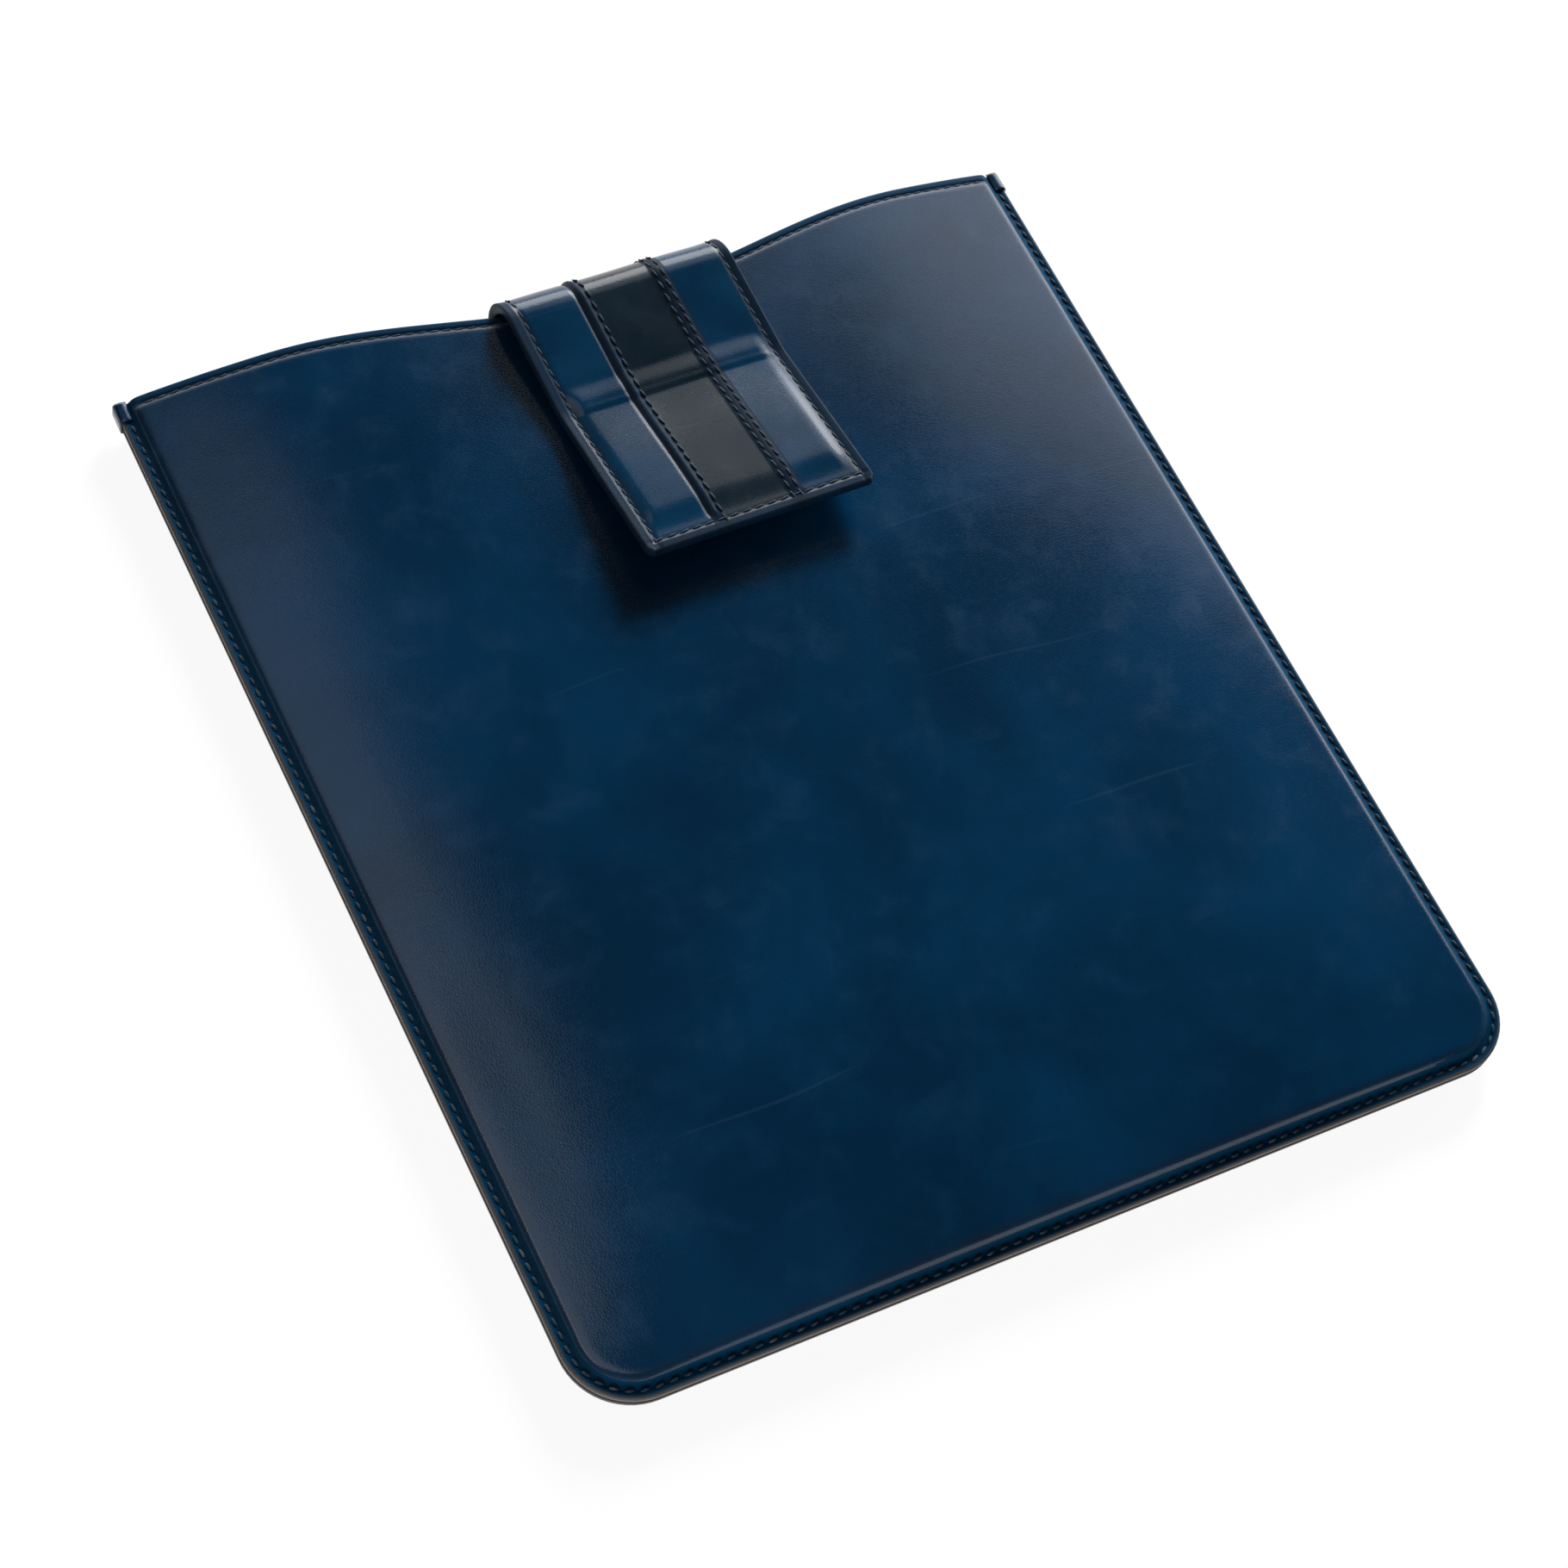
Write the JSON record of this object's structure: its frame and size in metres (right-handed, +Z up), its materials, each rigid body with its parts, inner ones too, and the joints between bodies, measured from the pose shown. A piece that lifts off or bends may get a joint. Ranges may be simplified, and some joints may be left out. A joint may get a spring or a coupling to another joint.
{
  "type": "tablet sleeve",
  "caption": "Slim leather tablet sleeve with a stitched seam, a wave-cut mouth and a wide ribbed strap that folds over the mouth and closes on the front.",
  "frame": {"origin": "middle of the flat back, on the surface that the sleeve lies on", "axes": "+X across the sleeve to the right, +Y from the closed end to the mouth, +Z up from the back to the front"},
  "size_m": [0.2224, 0.2504, 0.0235],
  "materials": {
    "sleeve_leather": "polished, patinated",
    "seam_core": "raw burnished edge",
    "strap_leather": "polished",
    "strap_centre_leather": "polished",
    "strap_lining_leather": "matt",
    "pocket_suede": "napped suede",
    "padding_felt": "pressed felt",
    "thread": "waxed thread",
    "board": "moulded",
    "magnet": "nickel plated",
    "keeper_steel": "plain sheet"
  },
  "bodies": {
    "sleeve": {"front_panel": "sleeve_leather", "back_panel": "sleeve_leather", "seam_welt": "seam_core", "front_padding": "padding_felt", "back_padding": "padding_felt", "front_lining": "pocket_suede", "back_lining": "pocket_suede", "front_mouth_facing": "sleeve_leather", "back_mouth_facing": "sleeve_leather", "left_mouth_tack": "sleeve_leather", "right_mouth_tack": "sleeve_leather", "front_seam_thread": "thread", "back_seam_thread": "thread", "front_mouth_thread": "thread", "keeper_plate": "keeper_steel", "strap_tail": "strap_leather", "strap_root_lining": "strap_lining_leather"},
    "bend_1": {"strap_bend_1": "strap_leather", "strap_bend_1_lining": "strap_lining_leather"},
    "bend_2": {"strap_bend_2": "strap_leather", "strap_bend_2_lining": "strap_lining_leather"},
    "bend_3": {"strap_bend_3": "strap_leather", "strap_bend_3_lining": "strap_lining_leather"},
    "strap_run": {"run_left_stripe": "strap_leather", "run_centre_stripe": "strap_centre_leather", "run_right_stripe": "strap_leather", "run_left_rib": "strap_leather", "run_right_rib": "strap_leather", "run_lining": "strap_lining_leather", "run_thread": "thread"},
    "strap_tip": {"tip_left_stripe": "strap_leather", "tip_centre_stripe": "strap_centre_leather", "tip_right_stripe": "strap_leather", "tip_left_rib": "strap_leather", "tip_right_rib": "strap_leather", "tip_lining": "strap_lining_leather", "tip_thread": "thread", "magnet_board": "board", "magnets": "magnet"}
  },
  "joints": [
    {"name": "strap_fold", "type": "hinge", "parent": "sleeve", "child": "bend_1", "pos_m": [0.00367, 0.11671, 0.00116], "axis": [-0.9994, -0.0349, 0], "range_deg": [0, 43]},
    {"name": "strap_fold_2", "type": "hinge", "parent": "bend_1", "child": "bend_2", "pos_m": [0.00348, 0.12209, 0.00654], "axis": [-0.9994, -0.0349, 0], "range_deg": [0, 43]},
    {"name": "strap_fold_3", "type": "hinge", "parent": "bend_2", "child": "bend_3", "pos_m": [0.00348, 0.12209, 0.01416], "axis": [-0.9994, -0.0349, 0], "range_deg": [0, 43]},
    {"name": "strap_fold_4", "type": "hinge", "parent": "bend_3", "child": "strap_run", "pos_m": [0.00367, 0.11671, 0.01954], "axis": [-0.9994, -0.0349, 0], "range_deg": [0, 43]},
    {"name": "strap_tip_bend", "type": "hinge", "parent": "strap_run", "child": "strap_tip", "pos_m": [0.00474, 0.08594, 0.01761], "axis": [-0.9994, -0.0349, 0], "range_deg": [-7, 12]}
  ],
  "couplings": [
    {"joint": "strap_fold_2", "follows": "strap_fold", "ratio": 1},
    {"joint": "strap_fold_3", "follows": "strap_fold", "ratio": 1},
    {"joint": "strap_fold_4", "follows": "strap_fold", "ratio": 1}
  ]
}
